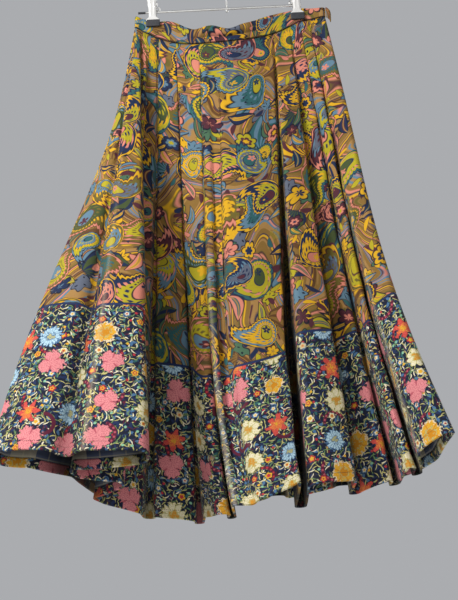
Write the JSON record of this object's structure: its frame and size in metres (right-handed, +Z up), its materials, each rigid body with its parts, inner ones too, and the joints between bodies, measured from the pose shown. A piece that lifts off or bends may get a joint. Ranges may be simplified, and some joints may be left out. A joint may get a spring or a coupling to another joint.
{
  "type": "circle skirt on a clip hanger",
  "caption": "Long flared velveteen skirt in a swirling leaf print with a deep flowered border, held by its waistband in the two clips of a wire hanger.",
  "frame": {"origin": "where the hook of the hanger bears on a rail, on the middle line of the stem", "axes": "+Z up, -Y the way the front of the skirt faces, +X to the right as the front is looked at"},
  "size_m": [0.6235, 0.3262, 1.0085],
  "materials": {
    "panel_cloth": "matt",
    "border_cloth": "matt",
    "facing_cloth": "matt",
    "wire": "satin",
    "clip": "gloss",
    "grip": "matt"
  },
  "bodies": {
    "root": {"skirt_front": "panel_cloth", "skirt_back": "panel_cloth", "border_front": "border_cloth", "border_back": "border_cloth", "facing_front": "facing_cloth", "facing_back": "facing_cloth", "hem_turn_front": "border_cloth", "hem_turn_back": "border_cloth", "waistband_front": "panel_cloth", "waistband_back": "panel_cloth", "waistband_tongue": "panel_cloth", "hanger_hook": "wire", "hanger_bar": "wire", "hanger_rivet": "wire", "hanger_bar_tip": "grip", "clip_left_leaf_front": "clip", "clip_left_leaf_back": "clip", "clip_left_barrel": "clip", "clip_left_pad_front": "grip", "clip_left_pad_back": "grip", "clip_left_spring": "wire", "clip_right_leaf_front": "clip", "clip_right_leaf_back": "clip", "clip_right_barrel": "clip", "clip_right_pad_front": "grip", "clip_right_pad_back": "grip", "clip_right_spring": "wire"}
  },
  "joints": []
}
